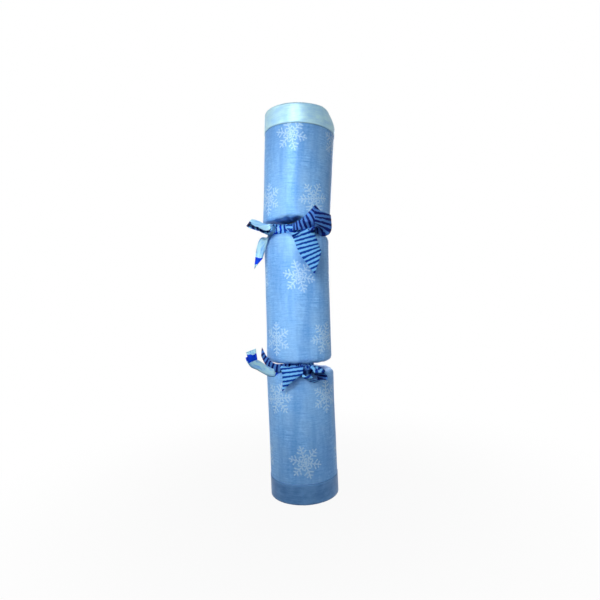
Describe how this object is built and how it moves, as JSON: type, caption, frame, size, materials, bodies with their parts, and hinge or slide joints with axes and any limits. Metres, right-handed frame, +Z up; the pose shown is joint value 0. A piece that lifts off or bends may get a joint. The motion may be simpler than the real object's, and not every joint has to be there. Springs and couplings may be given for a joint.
{
  "type": "christmas cracker",
  "caption": "Standing table cracker: paper-wrapped card tubes choked by tied striped ribbons, foil-trimmed rims, a pull-apart snap inside and small gifts in the barrel.",
  "frame": {"origin": "centre of the lower rim, on the surface that it stands on", "axes": "+Z up along the lower end, +X to the right and -Y to the front, where the bows are"},
  "size_m": [0.077, 0.0634, 0.3019],
  "materials": {
    "wrap_paper": "laid paper, satin",
    "tube_card": "grey-white card",
    "trim_foil": "brushed foil paper",
    "ribbon": "striped woven satin",
    "snap_card": "plain card",
    "friction_patch": "grey, rough",
    "snap_paper": "plain paper",
    "crown_tissue": "tissue paper",
    "slip_paper": "plain paper",
    "top_wood": "lacquered",
    "stem_wood": "plain"
  },
  "bodies": {
    "barrel": {"barrel_wrap": "wrap_paper", "barrel_tube": "tube_card", "upper_ribbon": "ribbon"},
    "upper_snap": {"snap_upper_strip": "snap_card", "snap_upper_patch": "friction_patch"},
    "upper_end": {"upper_end_wrap": "wrap_paper", "upper_end_tube": "tube_card", "upper_trim_band": "trim_foil"},
    "lower_snap": {"snap_lower_strip": "snap_card", "snap_lower_patch": "friction_patch", "snap_sleeve": "snap_paper"},
    "lower_end": {"lower_end_wrap": "wrap_paper", "lower_end_tube": "tube_card", "lower_trim_band": "trim_foil", "lower_ribbon": "ribbon"},
    "crown": {"paper_crown": "crown_tissue", "crown_band": "snap_paper"},
    "motto": {"motto_slip": "slip_paper"},
    "gift": {"top_body": "top_wood", "top_stem": "stem_wood"}
  },
  "joints": [
    {"name": "upper_pull", "type": "slide", "parent": "barrel", "child": "upper_snap", "axis": [0.0175, 0, 0.9998], "range_m": [0, 0.09]},
    {"name": "upper_tilt", "type": "hinge", "parent": "upper_snap", "child": "upper_end", "pos_m": [0.00187, 0, 0.20818], "axis": [0, 1, 0], "range_deg": [-9.3, 2.7]},
    {"name": "lower_pull", "type": "slide", "parent": "barrel", "child": "lower_snap", "axis": [-0.0175, 0, -0.9998], "range_m": [0, 0.09]},
    {"name": "lower_tilt", "type": "hinge", "parent": "lower_snap", "child": "lower_end", "pos_m": [0, 0, 0.1008], "axis": [0, 1, 0], "range_deg": [-5, 7]},
    {"name": "crown_rattle", "type": "slide", "parent": "barrel", "child": "crown", "axis": [0.0175, 0, 0.9998], "range_m": [0, 0.018]},
    {"name": "motto_rattle", "type": "slide", "parent": "barrel", "child": "motto", "axis": [0.0175, 0, 0.9998], "range_m": [0, 0.05]},
    {"name": "gift_rattle", "type": "slide", "parent": "barrel", "child": "gift", "axis": [0.0175, 0, 0.9998], "range_m": [0, 0.06]}
  ]
}
